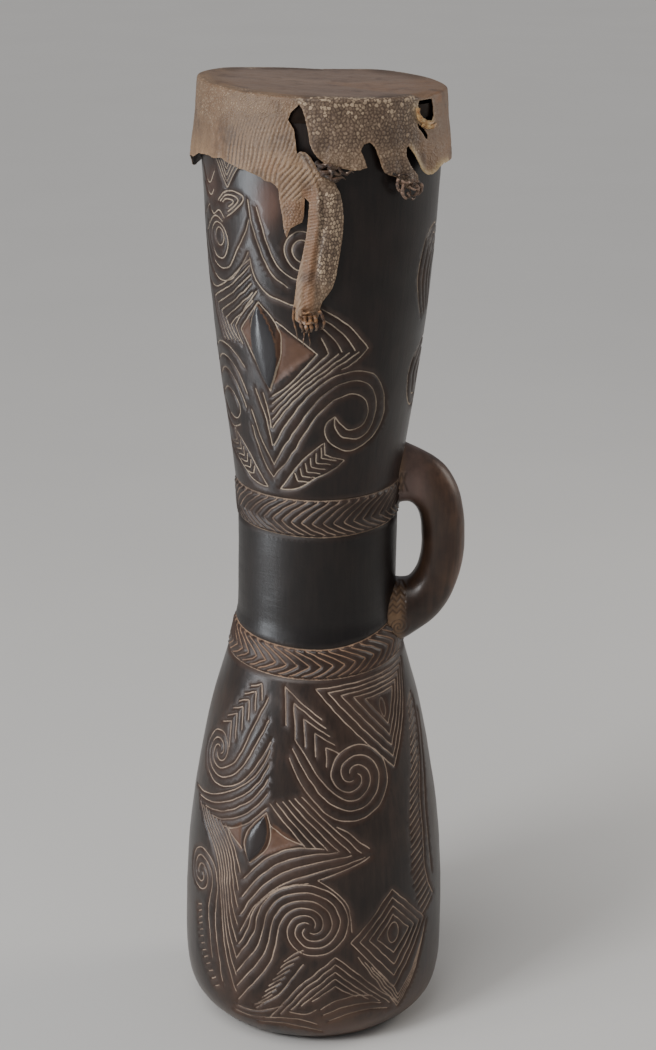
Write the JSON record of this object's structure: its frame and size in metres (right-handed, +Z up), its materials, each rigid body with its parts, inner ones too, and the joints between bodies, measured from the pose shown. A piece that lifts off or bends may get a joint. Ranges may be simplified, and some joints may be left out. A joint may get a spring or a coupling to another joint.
{
  "type": "hourglass hand drum",
  "caption": "Tall hourglass hand drum carved from one log with a side handle, carved bands and scrolls, and a lizard-skin head with hanging leg skins.",
  "frame": {"origin": "centre of the ring that the drum stands on, on the floor", "axes": "+Z up along the bore, +X towards the side handle, -Y towards the carved front that faces the viewer"},
  "size_m": [0.2106, 0.2, 0.724],
  "materials": {
    "carved_wood": "oiled and polished by handling, lime in the cuts",
    "handle_wood": "worn satin",
    "glue": "dried sap and lime",
    "lizard_skin": "dry, beaded scales"
  },
  "bodies": {
    "drum": {"upper_bowl": "carved_wood", "upper_band": "carved_wood", "waist": "carved_wood", "lower_band": "carved_wood", "lower_bowl": "carved_wood", "handle": "handle_wood", "rim_glue": "glue", "head_skin": "lizard_skin"},
    "long_leg": {"long_leg_skin": "lizard_skin"},
    "short_leg": {"short_leg_skin": "lizard_skin"},
    "torn_foot": {"torn_foot_skin": "lizard_skin"}
  },
  "joints": [
    {"name": "long_leg_lift", "type": "hinge", "parent": "drum", "child": "long_leg", "pos_m": [0.00317, -0.09075, 0.6725], "axis": [-0.9994, -0.0349, 0], "range_deg": [0, 45], "stiffness_Nm_per_rad": 0.02},
    {"name": "short_leg_lift", "type": "hinge", "parent": "drum", "child": "short_leg", "pos_m": [-0.02038, -0.08828, 0.659], "axis": [-0.9744, 0.225, 0], "range_deg": [0, 30], "stiffness_Nm_per_rad": 0.008},
    {"name": "torn_foot_lift", "type": "hinge", "parent": "drum", "child": "torn_foot", "pos_m": [0.05849, -0.06971, 0.6725], "axis": [-0.766, -0.6428, 0], "range_deg": [0, 30], "stiffness_Nm_per_rad": 0.008}
  ]
}
